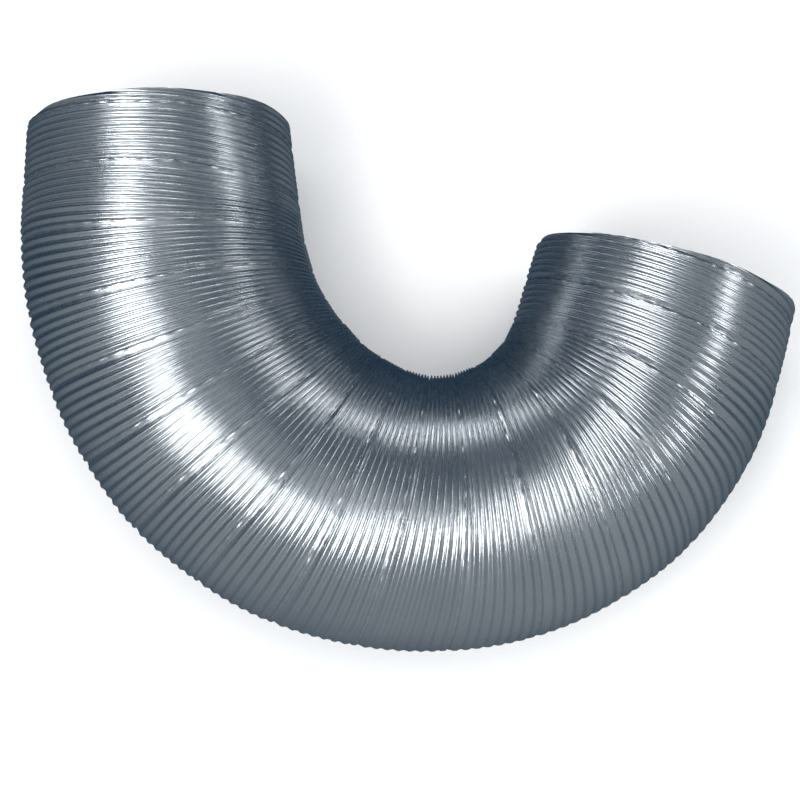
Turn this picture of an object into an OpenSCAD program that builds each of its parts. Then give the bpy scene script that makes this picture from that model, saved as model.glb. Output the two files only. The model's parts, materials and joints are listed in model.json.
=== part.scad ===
// Semi-rigid aluminium air duct, bent into a U and lying on its side.
// One corrugated strip is wound into a tube. Here the tube is split at the lock
// seams, so each turn of strip and each seam is a piece of its own.
// X runs across the two mouths, Y points the way the mouths face, Z is up.

/* [Tube] */
// Inside diameter of the tube
bore_d = 125.5; // [98:0.5:152]
// Height of a corrugation, from the bore to its crest
rib_h = 2.2; // [1.8:0.1:3]
// Thickness of the strip
strip_t = 0.15; // [0.12:0.01:0.2]
// Corrugations rolled into each full turn of strip
ribs = 7; // [4:1:9]
// Share of a corrugation that is crest
crest_share = 0.5; // [0.35:0.05:0.6]

/* [Bend] */
// Length of a bent turn along the centreline
turn_len = 26; // [24:0.1:32]
// Angle that the most open turn bends through
bend_open = 9.1; // [7:0.1:11]
// Angle that the tightest turn bends through
bend_tight = 15.8; // [12:0.1:16]

/* [Legs] */
// Length of the cut turn at the left mouth
mouth_a_len = 22; // [14:1:40]
// Length of the straight turn behind the left mouth
leg_a_len = 26; // [20:1:44]
// Length of the straight turn behind the right mouth
leg_b_len = 20; // [16:1:44]
// Length of the cut turn at the right mouth
mouth_b_len = 21; // [14:1:40]

/* [Lock seam] */
// Share of a turn that its lock seam takes
seam_share = 0.09; // [0.07:0.01:0.12]
// Thickness of the folded strip in the seam
seam_t = 0.6; // [0.5:0.05:0.8]
// Height of the crimped fold above the bore
fold_h = 1.9; // [1.4:0.1:2.2]
// Share of the seam's width that the fold takes
fold_share = 0.45; // [0.3:0.05:0.6]
// Share of a turn left free where it flexes against the seam before it
slip_share = 0.012; // [0.008:0.001:0.02]

/* [Hidden] */

$fn = 96;
last_turn = 17;
first_bent = 3;
last_bent = 15;
bore_r = bore_d / 2;
crest_r = bore_r + rib_h;
origin_xy = [-116.89, 127.23];

// angle that turn k bends through, nothing in the two legs
function bend_of(k) = k < first_bent || k > last_bent ? 0
  : bend_open + (bend_tight - bend_open) * (k - first_bent) / (last_bent - first_bent);

// centreline length of turn k
function len_of(k) = k == 1 ? mouth_a_len
  : k == 2 ? leg_a_len
  : k == 16 ? leg_b_len
  : k == 17 ? mouth_b_len
  : turn_len;

// bend radius of turn k
function bend_r_of(k) = len_of(k) / (bend_of(k) * PI / 180);

// heading at the start of turn k, anticlockwise from +X
function heading_at(k) = k == 1 ? -90 : heading_at(k - 1) + bend_of(k - 1);

// step from the start of turn k to its end
function step_of(k) = bend_of(k) == 0
  ? len_of(k) * [cos(heading_at(k)), sin(heading_at(k))]
  : 2 * bend_r_of(k) * sin(bend_of(k) / 2)
    * [cos(heading_at(k) + bend_of(k) / 2), sin(heading_at(k) + bend_of(k) / 2)];

// start point of turn k in plan
function start_of(k) = k == 1 ? origin_xy : start_of(k - 1) + step_of(k - 1);

// centre of turn k's bend in plan
function centre_of(k) = start_of(k)
  + bend_r_of(k) * [-sin(heading_at(k)), cos(heading_at(k))];

// how much of turn k its wall takes, all of it at the last turn
function wall_end(k) = k == last_turn ? 1 : 1 - seam_share;
function wall_start(k) = k == 1 ? 0 : slip_share;

// a length of tube wall from share s0 to share s1 of turn k
module tube(k, s0, s1, outer_r, inner_r) {
  if (bend_of(k) == 0) {
    translate([start_of(k)[0], start_of(k)[1], crest_r])
      rotate([0, 0, heading_at(k) + 90])
        rotate([90, 0, 0])
          translate([0, 0, s0 * len_of(k)])
            linear_extrude(height = (s1 - s0) * len_of(k))
              difference() {
                circle(outer_r);
                circle(inner_r);
              }
  } else {
    translate([centre_of(k)[0], centre_of(k)[1], crest_r])
      rotate_extrude(start = heading_at(k) - 90 + s0 * bend_of(k), angle = (s1 - s0) * bend_of(k))
        translate([bend_r_of(k), 0])
          difference() {
            circle(outer_r);
            circle(inner_r);
          }
  }
}

// corrugated wall of turn k: a tube with grooves cut by turns into its outside and its bore
module turn(k) {
  s0 = wall_start(k);
  s1 = wall_end(k);
  count = max(2, round(ribs * (s1 - s0) * len_of(k) / turn_len / (1 - seam_share)));
  rib = (s1 - s0) / (count + 1 - crest_share);
  web = strip_t / len_of(k);
  crest = crest_share * rib;
  gap = rib - crest;
  difference() {
    tube(k, s0, s1, crest_r, bore_r);
    for (i = [0 : count]) {
      at = s0 + i * rib;
      left = i == 0 ? at - gap : at;
      right = i == count ? at + 2 * gap : at + gap;
      tube(k, left, right, crest_r + 1, bore_r + strip_t);
    }
    for (i = [0 : count - 1]) {
      at = s0 + i * rib + gap;
      tube(k, at + web, at + crest - web, crest_r - strip_t, bore_r - 1);
    }
  }
}

// folded and crimped edge that locks turn k to the next one
module lock_seam(k) {
  s0 = 1 - seam_share;
  fold = fold_share * seam_share;
  tube(k, s0, 1, bore_r + seam_t, bore_r);
  tube(k, s0 + fold / 2, s0 + fold * 3 / 2, bore_r + fold_h, bore_r);
}

module turn_01() {
  color("#b9bec3") turn(1);
}

module turn_02() {
  color("#b9bec3") turn(2);
}

module turn_03() {
  color("#b9bec3") turn(3);
}

module turn_04() {
  color("#b9bec3") turn(4);
}

module turn_05() {
  color("#b9bec3") turn(5);
}

module turn_06() {
  color("#b9bec3") turn(6);
}

module turn_07() {
  color("#b9bec3") turn(7);
}

module turn_08() {
  color("#b9bec3") turn(8);
}

module turn_09() {
  color("#b9bec3") turn(9);
}

module turn_10() {
  color("#b9bec3") turn(10);
}

module turn_11() {
  color("#b9bec3") turn(11);
}

module turn_12() {
  color("#b9bec3") turn(12);
}

module turn_13() {
  color("#b9bec3") turn(13);
}

module turn_14() {
  color("#b9bec3") turn(14);
}

module turn_15() {
  color("#b9bec3") turn(15);
}

module turn_16() {
  color("#b9bec3") turn(16);
}

module turn_17() {
  color("#b9bec3") turn(17);
}

module lock_seam_01() {
  color("#8f969c") lock_seam(1);
}

module lock_seam_02() {
  color("#8f969c") lock_seam(2);
}

module lock_seam_03() {
  color("#8f969c") lock_seam(3);
}

module lock_seam_04() {
  color("#8f969c") lock_seam(4);
}

module lock_seam_05() {
  color("#8f969c") lock_seam(5);
}

module lock_seam_06() {
  color("#8f969c") lock_seam(6);
}

module lock_seam_07() {
  color("#8f969c") lock_seam(7);
}

module lock_seam_08() {
  color("#8f969c") lock_seam(8);
}

module lock_seam_09() {
  color("#8f969c") lock_seam(9);
}

module lock_seam_10() {
  color("#8f969c") lock_seam(10);
}

module lock_seam_11() {
  color("#8f969c") lock_seam(11);
}

module lock_seam_12() {
  color("#8f969c") lock_seam(12);
}

module lock_seam_13() {
  color("#8f969c") lock_seam(13);
}

module lock_seam_14() {
  color("#8f969c") lock_seam(14);
}

module lock_seam_15() {
  color("#8f969c") lock_seam(15);
}

module lock_seam_16() {
  color("#8f969c") lock_seam(16);
}

turn_01();
turn_02();
turn_03();
turn_04();
turn_05();
turn_06();
turn_07();
turn_08();
turn_09();
turn_10();
turn_11();
turn_12();
turn_13();
turn_14();
turn_15();
turn_16();
turn_17();
lock_seam_01();
lock_seam_02();
lock_seam_03();
lock_seam_04();
lock_seam_05();
lock_seam_06();
lock_seam_07();
lock_seam_08();
lock_seam_09();
lock_seam_10();
lock_seam_11();
lock_seam_12();
lock_seam_13();
lock_seam_14();
lock_seam_15();
lock_seam_16();
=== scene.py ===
"""Builds the look of a semi-rigid aluminium air duct, bent into a U.

The wall is one corrugated strip wound into a spiral. It is modelled straight, cut where
the duct flexes, and then laid along the bend.
"""

import json
import logging
import math
from dataclasses import dataclass, field
from enum import Enum

import bpy
import numpy as np
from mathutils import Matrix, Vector
from mathutils.kdtree import KDTree

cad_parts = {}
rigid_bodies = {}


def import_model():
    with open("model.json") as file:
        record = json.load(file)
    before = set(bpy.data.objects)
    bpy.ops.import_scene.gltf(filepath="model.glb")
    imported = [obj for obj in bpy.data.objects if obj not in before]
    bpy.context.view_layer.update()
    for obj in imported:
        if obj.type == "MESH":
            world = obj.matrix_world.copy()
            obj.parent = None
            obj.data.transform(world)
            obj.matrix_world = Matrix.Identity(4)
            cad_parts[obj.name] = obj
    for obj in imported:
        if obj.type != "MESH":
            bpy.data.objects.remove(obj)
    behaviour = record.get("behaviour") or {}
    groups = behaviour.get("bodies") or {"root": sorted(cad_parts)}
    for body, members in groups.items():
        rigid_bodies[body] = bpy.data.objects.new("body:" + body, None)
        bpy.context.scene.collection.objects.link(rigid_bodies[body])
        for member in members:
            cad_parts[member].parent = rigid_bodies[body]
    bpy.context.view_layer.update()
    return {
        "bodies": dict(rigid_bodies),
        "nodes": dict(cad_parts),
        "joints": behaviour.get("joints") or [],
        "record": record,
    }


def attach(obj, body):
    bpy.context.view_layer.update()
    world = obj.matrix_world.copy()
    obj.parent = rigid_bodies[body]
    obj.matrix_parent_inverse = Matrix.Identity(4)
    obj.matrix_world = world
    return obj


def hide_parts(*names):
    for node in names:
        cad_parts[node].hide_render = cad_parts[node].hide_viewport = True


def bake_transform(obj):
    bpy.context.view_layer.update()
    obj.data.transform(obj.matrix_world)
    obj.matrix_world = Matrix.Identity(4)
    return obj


LOG = logging.getLogger("air_duct")
MM = 0.001

# gaps between points of the straight tube, in millimetres
WELD_GAP = 0.01
CUT_GAP = 1e-5
SAME_POINT = 1e-4
# turns of strip left below the duct's beginning on the straight tube
SPARE_STRIP = 1.75
# the crimps' place and spread across the seam, and their depth in millimetres
CRIMP_AT = 0.42
CRIMP_WIDTH = 0.15
CRIMP_DEPTH = 0.8
# angle from which an edge is drawn sharp
SHARP_EDGE = math.radians(65)


@dataclass(frozen=True)
class TurnSizes:
    """One turn of the frame: its length along the centreline and the angle it bends."""

    length: float
    bend: float


@dataclass(frozen=True)
class DuctSizes:
    """Sizes of the duct, in millimetres and degrees.

    The phase is how far into a turn of the strip the left mouth is cut.
    """

    bore_r: float = 62.75
    crest_r: float = 64.95
    foil: float = 0.3
    start_x: float = -116.89
    start_y: float = 127.23
    mouth_a: float = 22.0
    leg_a: float = 26.0
    turn: float = 26.0
    leg_b: float = 20.0
    mouth_b: float = 21.0
    bend_open: float = 9.1
    bend_tight: float = 15.8
    bent_turns: int = 13
    strip_pitch: float = 26.2
    ribs: int = 7
    columns: int = 192
    crimps: int = 48
    phase: float = 6.0

    def turns(self) -> list[TurnSizes]:
        """Lists the turns from the left mouth to the right.

        Returns:
            The turns, in order along the duct.
        """
        step = (self.bend_tight - self.bend_open) / (self.bent_turns - 1)
        bent = [TurnSizes(self.turn, self.bend_open + step * i) for i in range(self.bent_turns)]
        head = [TurnSizes(self.mouth_a, 0.0), TurnSizes(self.leg_a, 0.0)]
        tail = [TurnSizes(self.leg_b, 0.0), TurnSizes(self.mouth_b, 0.0)]
        return head + bent + tail


class Route:
    """The duct's centreline in plan, with the place and heading at any length along it."""

    def __init__(self, sizes: DuctSizes) -> None:
        """Walks the turns once and keeps where each begins.

        Args:
            sizes: Sizes of the duct.
        """
        self.sizes = sizes
        self.turns = sizes.turns()
        self.starts = np.concatenate([[0.0], np.cumsum([t.length for t in self.turns])])
        headings = np.cumsum([-90.0] + [t.bend for t in self.turns])
        self.headings = np.radians(headings)
        places = [np.array([sizes.start_x, sizes.start_y])]
        for index, turn in enumerate(self.turns):
            places.append(places[-1] + self._chord(index, turn.length))
        self.places = np.array(places)

    def _chord(self, index: int, along: float) -> np.ndarray:
        """Gives the step from the start of a turn to a length along it."""
        turn = self.turns[index]
        swept = math.radians(turn.bend) * along / turn.length
        heading = self.headings[index] + swept / 2
        reach = along if abs(swept) < 1e-9 else along * math.sin(swept / 2) / (swept / 2)
        return reach * np.array([math.cos(heading), math.sin(heading)])

    @property
    def length(self) -> float:
        """Full length of the centreline, in millimetres."""
        return float(self.starts[-1])

    def at(self, along: np.ndarray) -> tuple[np.ndarray, np.ndarray]:
        """Finds places and headings.

        Args:
            along: Lengths along the centreline, in millimetres.

        Returns:
            The places in plan, and the headings in radians.
        """
        index = np.searchsorted(self.starts, along, side="right") - 1
        index = np.clip(index, 0, len(self.turns) - 1)
        bends = np.radians([t.bend for t in self.turns])[index]
        lengths = np.array([t.length for t in self.turns])[index]
        rest = along - self.starts[index]
        swept = bends * rest / lengths
        half = np.where(np.abs(swept) < 1e-9, 1e-9, swept / 2)
        reach = rest * np.sin(half) / half
        heading = self.headings[index] + swept / 2
        step = np.stack([reach * np.cos(heading), reach * np.sin(heading)], axis=1)
        return self.places[index] + step, self.headings[index] + swept

    def curve(self, along: np.ndarray) -> np.ndarray:
        """Gives the centreline's curvature, eased between turns, per millimetre."""
        middles = (self.starts[:-1] + self.starts[1:]) / 2
        bends = np.array([math.radians(t.bend) / t.length for t in self.turns])
        return np.interp(along, middles, bends)

    def point(self, along: float) -> Vector:
        """Gives one point of the centreline in the frame, in metres."""
        place, _ = self.at(np.array([along]))
        return Vector((place[0][0], place[0][1], self.sizes.crest_r)) * MM


@dataclass
class Handling:
    """How the duct has been pressed and pulled out of true by hand.

    The widths are shares of the round width, at the shares of the length in knots. The
    slide, dent and lean are in millimetres, and the shares are of the duct's length.
    """

    route: Route
    seed: int = 7
    wave_count: int = 14
    wave_scale: float = 3.0
    knots: tuple[float, ...] = (0.0, 0.12, 0.35, 0.6, 0.85, 1.0)
    widths: tuple[float, ...] = (0.955, 1.027, 1.062, 0.992, 0.985, 0.965)
    slide: float = 0.75
    dent: float = 0.35
    lean: float = 3.6
    lean_from: float = 0.12
    lean_over: float = 0.3
    still_ends: float = 0.08
    waves: list[tuple[float, float, float, float]] = field(default_factory=list)

    def __post_init__(self) -> None:
        """Draws the small waves that upset each turn."""
        rng = np.random.default_rng(self.seed)
        for _ in range(self.wave_count):
            rate = rng.uniform(0.02, 0.16)
            lobes = float(rng.integers(0, 4))
            phase = rng.uniform(0, 6.28)
            self.waves.append((rate, lobes, phase, rng.uniform(0.4, 1.0)))

    def _noise(self, along: np.ndarray, angle: np.ndarray, skip: int) -> np.ndarray:
        """Sums every second wave into a smooth field between about -1 and 1."""
        total = np.zeros_like(along)
        for rate, lobes, phase, weight in self.waves[skip::2]:
            total += weight * np.sin(rate * along + lobes * angle + phase)
        return total / self.wave_scale

    def shift(self, along: np.ndarray, angle: np.ndarray) -> np.ndarray:
        """Moves points along the duct, as turns open, close and lean.

        Args:
            along: Lengths along the straight tube, in millimetres.
            angle: Angles round it from the outside of the bend, in radians.

        Returns:
            Lengths along the centreline, in millimetres.
        """
        share = along / self.route.length
        fade = np.clip(np.minimum(share, 1 - share) / self.still_ends, 0, 1)
        grown = np.clip((share - self.lean_from) / self.lean_over, 0, 1)
        lean = self.lean * grown * np.cos(angle)
        return along + fade * (self.slide * self._noise(along, angle, 0) - lean)

    def swell(
        self, along: np.ndarray, angle: np.ndarray, radius: np.ndarray
    ) -> tuple[np.ndarray, np.ndarray]:
        """Presses the round tube out of true.

        Args:
            along: Lengths along the centreline, in millimetres.
            angle: Angles round the tube, in radians.
            radius: Distances from the centreline, in millimetres.

        Returns:
            The distances towards the outside of the bend, and upwards.
        """
        wide = np.interp(along / self.route.length, self.knots, self.widths)
        rough = radius + self.dent * self._noise(along * 1.6, angle * 2.0, 1)
        return rough * wide * np.cos(angle), rough * (2 - wide) * np.sin(angle)


@dataclass(frozen=True)
class Profile:
    """The strip's section, as heights above the bore across one turn of the spiral.

    The seam is in the middle of the section, so that no seam crosses its ends. Its shape
    is a run of (share of the seam's width, height above the bore in millimetres).
    """

    sizes: DuctSizes
    seam_width: float = 0.12
    floor: float = 0.75
    rib_points: int = 10
    seam: tuple[tuple[float, float], ...] = (
        (0.0, 0.75), (0.10, 0.80), (0.16, 1.20), (0.22, 1.65), (0.32, 1.85), (0.44, 1.88),
        (0.54, 1.75), (0.60, 1.10), (0.65, 0.35), (0.72, 0.12), (0.86, 0.12), (1.0, 0.75),
    )

    def rows(self) -> list[tuple[float, float]]:
        """Lists the section's points.

        Returns:
            Pairs of (share of the pitch, height above the bore in millimetres).
        """
        full = self.sizes.crest_r - self.sizes.bore_r
        low = 0.5 - self.seam_width / 2
        high = 0.5 + self.seam_width / 2
        half = self.sizes.ribs / 2
        total = round(half * self.rib_points)
        ribs = []
        for i in range(total + 1):
            wave = 0.5 - 0.5 * math.cos(math.tau * half * i / total)
            ribs.append((i / total, self.floor + (full - self.floor) * wave))
        points = [(low * (1 - t), h) for t, h in reversed(ribs[1:])]
        points += [(low + (high - low) * u, h) for u, h in self.seam]
        points += [(high + (1 - high) * t, h) for t, h in ribs[1:]]
        return points


class DuctWall:
    """The wound wall of the duct, cut into one piece for each turn that flexes."""

    def __init__(self, route: Route, handling: Handling) -> None:
        """Keeps the route and the handling.

        Args:
            route: The duct's centreline.
            handling: How the duct has been pressed out of true.
        """
        self.route = route
        self.sizes = route.sizes
        self.handling = handling
        self.profile = Profile(route.sizes)
        self.pieces: list[bpy.types.Object] = []

    def wind(self, low: float, high: float) -> bpy.types.Object:
        """Winds enough strip to cover a stretch of a straight tube that stands on Z.

        Args:
            low: Where the stretch begins, in millimetres.
            high: Where it ends.

        Returns:
            The tube, longer than the stretch at both ends.
        """
        pitch = self.sizes.strip_pitch
        first = math.floor(low / pitch) - 2
        bore = self.sizes.bore_r
        points = [(bore + h, 0.0, (first + u) * pitch) for u, h in self.profile.rows()]
        mesh = bpy.data.meshes.new("strip section")
        mesh.from_pydata(points, [(i, i + 1) for i in range(len(points) - 1)], [])
        tube = bpy.data.objects.new("wound_strip", mesh)
        bpy.context.collection.objects.link(tube)
        screw = tube.modifiers.new("wind", "SCREW")
        screw.axis = "Z"
        screw.angle = math.tau
        screw.screw_offset = pitch
        screw.iterations = math.ceil(high / pitch) + 1 - first
        screw.steps = self.sizes.columns
        screw.render_steps = self.sizes.columns
        screw.use_merge_vertices = False
        screw.use_normal_calculate = False
        self._apply(tube, screw)
        weld = tube.modifiers.new("weld", "WELD")
        weld.merge_threshold = WELD_GAP
        self._apply(tube, weld)
        return tube

    @staticmethod
    def _apply(piece: bpy.types.Object, modifier: bpy.types.Modifier) -> None:
        """Applies one modifier to a piece."""
        bpy.ops.object.select_all(action="DESELECT")
        piece.select_set(True)
        bpy.context.view_layer.objects.active = piece
        bpy.ops.object.modifier_apply(modifier=modifier.name)

    @staticmethod
    def _coords(mesh: bpy.types.Mesh) -> np.ndarray:
        """Reads a mesh's points into an array."""
        out = np.empty(len(mesh.vertices) * 3)
        mesh.vertices.foreach_get("co", out)
        return out.reshape(-1, 3)

    def _cut(self, piece: bpy.types.Object, low: float, high: float) -> None:
        """Keeps the stretch of a straight tube between two heights."""
        bpy.ops.object.select_all(action="DESELECT")
        piece.select_set(True)
        bpy.context.view_layer.objects.active = piece
        bpy.ops.object.mode_set(mode="EDIT")
        for height, upward in ((low, False), (high, True)):
            bpy.ops.mesh.select_all(action="SELECT")
            bpy.ops.mesh.bisect(
                plane_co=(0, 0, height),
                plane_no=(0, 0, 1),
                clear_inner=not upward,
                clear_outer=upward,
                threshold=CUT_GAP,
            )
        bpy.ops.object.mode_set(mode="OBJECT")

    def _lay(self, points: np.ndarray, base: float) -> np.ndarray:
        """Takes points of the straight tube to their place on the route, in metres."""
        along = points[:, 2] - base
        angle = np.arctan2(points[:, 1], points[:, 0])
        radius = np.hypot(points[:, 0], points[:, 1])
        radius = radius - self._crimp(points, angle)
        moved = self.handling.shift(along, angle)
        radius = self._open_ribs(radius, moved, angle)
        aside, up = self.handling.swell(moved, angle, radius)
        place, heading = self.route.at(moved)
        x = place[:, 0] + aside * np.sin(heading)
        y = place[:, 1] - aside * np.cos(heading)
        z = self.sizes.crest_r + up
        return np.stack([x, y, z], axis=1) * MM

    def _open_ribs(self, radius: np.ndarray, along: np.ndarray, angle: np.ndarray) -> np.ndarray:
        """Flattens the ribs where the bend opens them and deepens them where it closes them."""
        full = self.sizes.crest_r - self.sizes.bore_r
        half = self.sizes.strip_pitch / (self.sizes.ribs + 0.9) / 2
        stretch = 1 + self.route.curve(along) * self.sizes.crest_r * np.cos(angle)
        slope = np.maximum(0.9, full**2 + half**2 - (half * np.clip(stretch, 0.6, 2.0)) ** 2)
        depth = np.clip(np.sqrt(slope) / full, 0.4, 1.1)
        middle = (self.sizes.crest_r + self.sizes.bore_r) / 2
        return middle + (radius - middle) * depth

    def _crimp(self, points: np.ndarray, angle: np.ndarray) -> np.ndarray:
        """Depth of the crimped dimples in the seam's fold."""
        across = np.mod(points[:, 2] / self.sizes.strip_pitch - angle / math.tau, 1.0)
        at = (across - 0.5) / self.profile.seam_width + 0.5
        fold = np.exp(-(((at - CRIMP_AT) / CRIMP_WIDTH) ** 2))
        dimple = (0.5 + 0.5 * np.cos(angle * self.sizes.crimps)) ** 2
        return CRIMP_DEPTH * fold * dimple

    def build(self) -> None:
        """Winds, cuts, lays and thickens the wall, one turn at a time."""
        base = self.sizes.strip_pitch * SPARE_STRIP - self.sizes.phase
        starts = self.route.starts + base
        for index in range(len(self.route.turns)):
            piece = self.wind(starts[index], starts[index + 1])
            piece.name = f"duct_turn_{index + 1:02d}"
            whole = self._coords(piece.data)
            normals = self._surface_normals(piece.data, base)
            self._lay_uv(piece.data)
            self._cut(piece, starts[index], starts[index + 1])
            self._finish_piece(piece, base, self._match(whole, normals, self._coords(piece.data)))
            self.pieces.append(piece)

    @staticmethod
    def _match(whole: np.ndarray, normals: np.ndarray, points: np.ndarray) -> np.ndarray:
        """Carries the whole tube's normals to the points of a cut piece.

        Args:
            whole: Points of the whole tube.
            normals: Its normals.
            points: Points of the cut piece, some of them new ones on its cut edges.

        Returns:
            A unit normal for each point of the piece.
        """
        tree = KDTree(len(whole))
        for index, point in enumerate(whole):
            tree.insert(point, index)
        tree.balance()
        out = np.empty_like(points)
        for index, point in enumerate(points):
            near = tree.find_n(point, 3)
            if near[0][2] < SAME_POINT:
                out[index] = normals[near[0][1]]
                continue
            out[index] = sum(normals[i] / (gap + SAME_POINT) for _, i, gap in near)
        return out / np.linalg.norm(out, axis=1)[:, None]

    def _lay_uv(self, mesh: bpy.types.Mesh) -> None:
        """Unrolls the strip into a map: U runs along the strip, V across it, in metres."""
        points = self._coords(mesh)
        layer = mesh.uv_layers.new(name="strip")
        loops = np.empty(len(mesh.loops), dtype=np.int64)
        mesh.loops.foreach_get("vertex_index", loops)
        starts = np.empty(len(mesh.polygons), dtype=np.int64)
        totals = np.empty(len(mesh.polygons), dtype=np.int64)
        mesh.polygons.foreach_get("loop_start", starts)
        mesh.polygons.foreach_get("loop_total", totals)
        angle = np.mod(np.arctan2(points[:, 1], points[:, 0]), math.tau)[loops]
        owner = np.repeat(np.arange(len(starts)), totals)
        first = angle[starts][owner]
        angle = angle + math.tau * (first - angle > math.pi) - math.tau * (angle - first > math.pi)
        coords = np.stack([angle * self.sizes.crest_r * MM, points[:, 2][loops] * MM], axis=1)
        layer.data.foreach_set("uv", coords.ravel())

    def _surface_normals(self, mesh: bpy.types.Mesh, base: float) -> np.ndarray:
        """Works out the outward normals of the whole laid tube, before it is cut."""
        saved = self._coords(mesh)
        laid = self._lay(saved, base)
        mesh.vertices.foreach_set("co", laid.ravel())
        mesh.update()
        normals = np.empty(len(mesh.vertices) * 3)
        mesh.vertex_normals.foreach_get("vector", normals)
        normals = normals.reshape(-1, 3)
        along = saved[:, 2] - base
        angle = np.arctan2(saved[:, 1], saved[:, 0])
        place, _ = self.route.at(self.handling.shift(along, angle))
        centre = np.column_stack([place, np.full(len(place), self.sizes.crest_r)]) * MM
        if np.mean(np.sum((laid - centre) * normals, axis=1)) < 0:
            normals = -normals
        mesh.vertices.foreach_set("co", saved.ravel())
        mesh.update()
        return normals

    def _finish_piece(self, piece: bpy.types.Object, base: float, normals: np.ndarray) -> None:
        """Lays one piece on the route, gives it its thickness and its smooth normals.

        Args:
            piece: The cut piece, still straight.
            base: Height at which the duct begins on the straight tube.
            normals: Outward normals of the laid piece, one for each point.
        """
        mesh = piece.data
        laid = self._lay(self._coords(mesh), base)
        mesh.vertices.foreach_set("co", laid.ravel())
        mesh.update()
        face_normal = np.empty(len(mesh.polygons) * 3)
        mesh.polygons.foreach_get("normal", face_normal)
        first = np.empty(len(mesh.polygons), dtype=np.int64)
        mesh.polygons.foreach_get("loop_start", first)
        loops = np.empty(len(mesh.loops), dtype=np.int64)
        mesh.loops.foreach_get("vertex_index", loops)
        if np.mean(np.sum(face_normal.reshape(-1, 3) * normals[loops[first]], axis=1)) < 0:
            mesh.flip_normals()
        count = len(mesh.vertices)
        solid = piece.modifiers.new("foil", "SOLIDIFY")
        solid.thickness = self.sizes.foil * MM
        solid.offset = -1.0
        solid.use_even_offset = False
        self._apply(piece, solid)
        mesh = piece.data
        mesh.shade_smooth()
        mesh.set_sharp_from_angle(angle=SHARP_EDGE)
        every = np.vstack([normals, -normals])
        if len(mesh.vertices) == 2 * count:
            mesh.normals_split_custom_set_from_vertices(every.tolist())
        else:
            LOG.warning("%s has %d points, not %d", piece.name, len(mesh.vertices), 2 * count)


class Maths:
    """A socket of a material's node tree that can be used in sums."""

    def __init__(self, tree: bpy.types.NodeTree, value: bpy.types.NodeSocket) -> None:
        """Wraps a socket.

        Args:
            tree: The material's node tree.
            value: The socket.
        """
        self.tree = tree
        self.value = value

    def _sum(self, operation: str, first: object, second: object) -> "Maths":
        """Adds one Math node and wraps its result."""
        settings = {"operation": operation}
        sums = add_node(self.tree, "ShaderNodeMath", settings, Value=first, Value_001=second)
        return Maths(self.tree, sums.outputs[0])

    def __add__(self, other: object) -> "Maths":
        """Sum."""
        return self._sum("ADD", self, other)

    def __radd__(self, other: object) -> "Maths":
        """Sum, reflected."""
        return self._sum("ADD", other, self)

    def __sub__(self, other: object) -> "Maths":
        """Difference."""
        return self._sum("SUBTRACT", self, other)

    def __rsub__(self, other: object) -> "Maths":
        """Difference, reflected."""
        return self._sum("SUBTRACT", other, self)

    def __mul__(self, other: object) -> "Maths":
        """Product."""
        return self._sum("MULTIPLY", self, other)

    def __rmul__(self, other: object) -> "Maths":
        """Product, reflected."""
        return self._sum("MULTIPLY", other, self)


def add_node(
    tree: bpy.types.NodeTree, kind: str, settings: dict | None = None, **values: object
) -> bpy.types.Node:
    """Adds one node, makes its settings and fills its sockets.

    Args:
        tree: The node tree.
        kind: The node's type.
        settings: The node's own settings by name, made before its sockets are filled.
        values: Values, sockets or sums by the identifier of the socket that they fill.

    Returns:
        The new node.
    """
    node = tree.nodes.new(kind)
    for key, setting in (settings or {}).items():
        setattr(node, key, setting)
    sockets = {socket.identifier: socket for socket in node.inputs}
    for key, value in values.items():
        value = value.value if isinstance(value, Maths) else value
        if isinstance(value, bpy.types.NodeSocket):
            tree.links.new(value, sockets[key])
        else:
            sockets[key].default_value = value
    return node


class Grain(Enum):
    """How a surface is marked."""

    ROLLED = "rolled"
    MATT = "matt"


@dataclass(frozen=True)
class Finish:
    """A procedural finish.

    The cloud, streaks and pits are the scales of its mottling, its rolling lines along and
    across the strip, and its small pits.
    """

    name: str
    colour: tuple[float, float, float]
    dull: tuple[float, float, float]
    metallic: float
    roughness: float
    grain: Grain
    grain_depth: float = 0.0
    cloud: float = 38.0
    streaks: tuple[float, float, float] = (45.0, 2600.0, 1.0)
    pits: float = 260.0

    def _noise(
        self, tree: bpy.types.NodeTree, vector: bpy.types.NodeSocket, scale: float, detail: float
    ) -> Maths:
        """Adds one Noise Texture and wraps its value."""
        noise = add_node(tree, "ShaderNodeTexNoise", Vector=vector, Scale=scale, Detail=detail)
        return Maths(tree, noise.outputs["Fac"])

    def build(self) -> bpy.types.Material:
        """Makes the material.

        Returns:
            The finished material.
        """
        material = bpy.data.materials.new(self.name)
        material.use_nodes = True
        tree = material.node_tree
        shader = tree.nodes["Principled BSDF"]
        shader.inputs["Metallic"].default_value = self.metallic
        coords = add_node(tree, "ShaderNodeTexCoord")
        place = coords.outputs["Object"]
        mottle = self._noise(tree, place, self.cloud, 4.0)
        if self.grain is Grain.ROLLED:
            unrolled = coords.outputs["UV"]
            stretch = add_node(tree, "ShaderNodeMapping", Vector=unrolled, Scale=self.streaks)
            drawn = self._noise(tree, stretch.outputs[0], 1.0, 3.0)
            rough = self.roughness + (mottle - 0.5) * 0.10 + (drawn - 0.5) * 0.12
            height = drawn * 0.6 + self._noise(tree, place, self.pits, 2.0) * 0.8
        else:
            rough = self.roughness + (mottle - 0.5) * 0.05
            height = mottle
        tint = mix_colours(tree, mottle, self.dull, self.colour)
        tree.links.new(tint, shader.inputs["Base Color"])
        tree.links.new(rough.value, shader.inputs["Roughness"])
        if self.grain_depth:
            depth = self.grain_depth
            bump = add_node(tree, "ShaderNodeBump", Height=height, Strength=0.35, Distance=depth)
            tree.links.new(bump.outputs[0], shader.inputs["Normal"])
        return material


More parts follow.
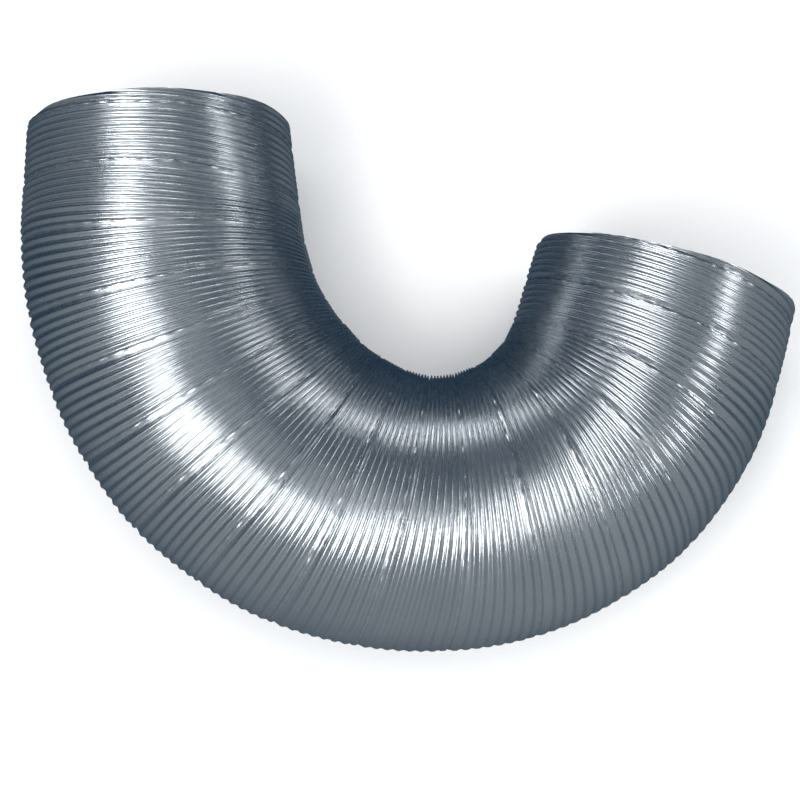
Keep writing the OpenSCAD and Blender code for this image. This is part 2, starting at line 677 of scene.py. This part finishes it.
def mix_colours(
    tree: bpy.types.NodeTree, factor: Maths, first: tuple, second: tuple
) -> bpy.types.NodeSocket:
    """Mixes two colours.

    Args:
        tree: The node tree.
        factor: Share of the second colour, held between 0 and 1.
        first: The colour at 0.
        second: The colour at 1.

    Returns:
        The mixed colour's socket.
    """
    settings = {"data_type": "RGBA", "clamp_factor": True}
    mix = add_node(
        tree,
        "ShaderNodeMix",
        settings,
        Factor_Float=factor,
        A_Color=(*first, 1.0),
        B_Color=(*second, 1.0),
    )
    return mix.outputs[2]


FOIL = Finish(
    name="rolled aluminium",
    colour=(0.86, 0.88, 0.90),
    dull=(0.74, 0.77, 0.80),
    metallic=1.0,
    roughness=0.27,
    grain=Grain.ROLLED,
    grain_depth=0.00012,
)
FLOOR = Finish(
    name="pale floor",
    colour=(0.90, 0.90, 0.90),
    dull=(0.88, 0.88, 0.88),
    metallic=0.0,
    roughness=0.8,
    grain=Grain.MATT,
)
NAVY = (0.012, 0.034, 0.062)
GREY = (0.26, 0.29, 0.31)


@dataclass
class Duct:
    """The whole duct, laid in the frame; the pieces without a joint are tied to the mouths'
    bodies.
    """

    frame: dict
    route: Route
    wall: DuctWall

    def assemble(self) -> None:
        """Gives each piece its finish and hides the frame's parts that it covers; the pieces
        without a joint are tied to the mouths' bodies, the others are only baked in place.
        """
        foil = FOIL.build()
        joints = {joint["name"][-2:]: joint for joint in self.frame["joints"]}
        for number, piece in enumerate(self.wall.pieces, start=1):
            piece.data.materials.clear()
            piece.data.materials.append(foil)
            nodes = [f"turn_{number:02d}"]
            if number < len(self.wall.pieces):
                nodes.append(f"lock_seam_{number:02d}")
            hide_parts(*nodes)
            joint = joints.get(f"{number:02d}")
            if joint is None:
                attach(piece, "mouth_a" if number == 1 else "mouth_b")
                continue
            low, high = self.route.starts[number - 1], self.route.starts[number]
            first, last = self.route.point(low), self.route.point(high)
            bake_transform(piece)

    @staticmethod
    def _order(body: str) -> int:
        """Places a body along the duct, from the left mouth."""
        ends = {"mouth_a": 0, "mouth_b": 99}
        return ends[body] if body in ends else int(body[-2:])


@dataclass(frozen=True)
class Lamp:
    """A soft rectangular lamp, in metres and watts."""

    name: str
    place: tuple[float, float, float]
    size: tuple[float, float]
    power: float
    mirrored: bool = True


LAMPS = (
    Lamp("key", (-1.03, -0.9, 2.1), (1.25, 1.25), 28.5),
    Lamp("fill", (0.08, -0.1, 1.2), (0.35, 0.35), 0.2),
    Lamp("right_strip", (0.70, -0.14, 0.53), (0.5, 0.10), 0.75),
    Lamp("back", (0.05, 0.79, 0.53), (0.26, 0.26), 0.9),
    Lamp("wide", (0.0, 0.0, 3.2), (4.0, 4.0), 130.0, mirrored=False),
)


@dataclass
class Studio:
    """Floor, lamps and camera, in metres and degrees."""

    floor_size: float = 6.0
    floor_z: float = -0.0032
    lit: tuple[float, float, float] = (0.0, 0.0, 0.06)
    aim: tuple[float, float, float] = (-0.0074, -0.0082, 0.065)
    distance: float = 0.9165
    elevation: float = 82.42
    turn: float = -2.37
    lens: float = 87.9

    def floor(self) -> None:
        """Lays a large pale floor under the duct."""
        bpy.ops.mesh.primitive_plane_add(size=self.floor_size, location=(0, 0, self.floor_z))
        plane = bpy.context.object
        plane.name = "floor"
        plane.data.materials.append(FLOOR.build())
        plane.visible_glossy = False

    def hang(self, lamp: Lamp) -> None:
        """Hangs one lamp, pointing at the duct.

        Args:
            lamp: The lamp.
        """
        data = bpy.data.lights.new(lamp.name, "AREA")
        data.shape = "RECTANGLE"
        data.size, data.size_y = lamp.size
        data.energy = lamp.power
        hung = bpy.data.objects.new(lamp.name, data)
        bpy.context.collection.objects.link(hung)
        hung.location = lamp.place
        way = Vector(self.lit) - Vector(lamp.place)
        hung.rotation_euler = way.to_track_quat("-Z", "Y").to_euler()
        hung.visible_glossy = lamp.mirrored

    def surround(self) -> None:
        """Sets the dim surround: grey on the near side and overhead, fading to navy behind."""
        world = bpy.context.scene.world or bpy.data.worlds.new("surround")
        bpy.context.scene.world = world
        world.use_nodes = True
        tree = world.node_tree
        way = add_node(tree, "ShaderNodeTexCoord").outputs["Generated"]
        split = add_node(tree, "ShaderNodeSeparateXYZ", Vector=way)
        away, up = (Maths(tree, split.outputs[i]) for i in (1, 2))
        shade = mix_colours(tree, 0.30 - away * 0.5 + up * 0.15, NAVY, GREY)
        tree.links.new(shade, tree.nodes["Background"].inputs[0])

    def camera(self) -> None:
        """Sets the camera above the duct."""
        up = math.radians(self.elevation)
        turn = math.radians(self.turn)
        flat = Vector((math.sin(turn), -math.cos(turn), 0)) * math.cos(up)
        way = Vector((flat.x, flat.y, math.sin(up)))
        data = bpy.data.cameras.new("camera")
        data.lens = self.lens
        camera = bpy.data.objects.new("camera", data)
        bpy.context.collection.objects.link(camera)
        camera.location = Vector(self.aim) + way * self.distance
        camera.rotation_euler = (-way).to_track_quat("-Z", "Y").to_euler()
        bpy.context.scene.camera = camera


def main() -> None:
    """Builds the duct and the studio, in order."""
    logging.basicConfig(level=logging.INFO)
    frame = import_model()
    route = Route(DuctSizes())
    wall = DuctWall(route, Handling(route))
    wall.build()
    LOG.info("wall laid in %d pieces", len(wall.pieces))
    Duct(frame, route, wall).assemble()
    studio = Studio()
    studio.floor()
    studio.surround()
    for lamp in LAMPS:
        studio.hang(lamp)
    studio.camera()
    bpy.context.scene.view_settings.view_transform = "Standard"


if __name__ == "__main__":
    main()
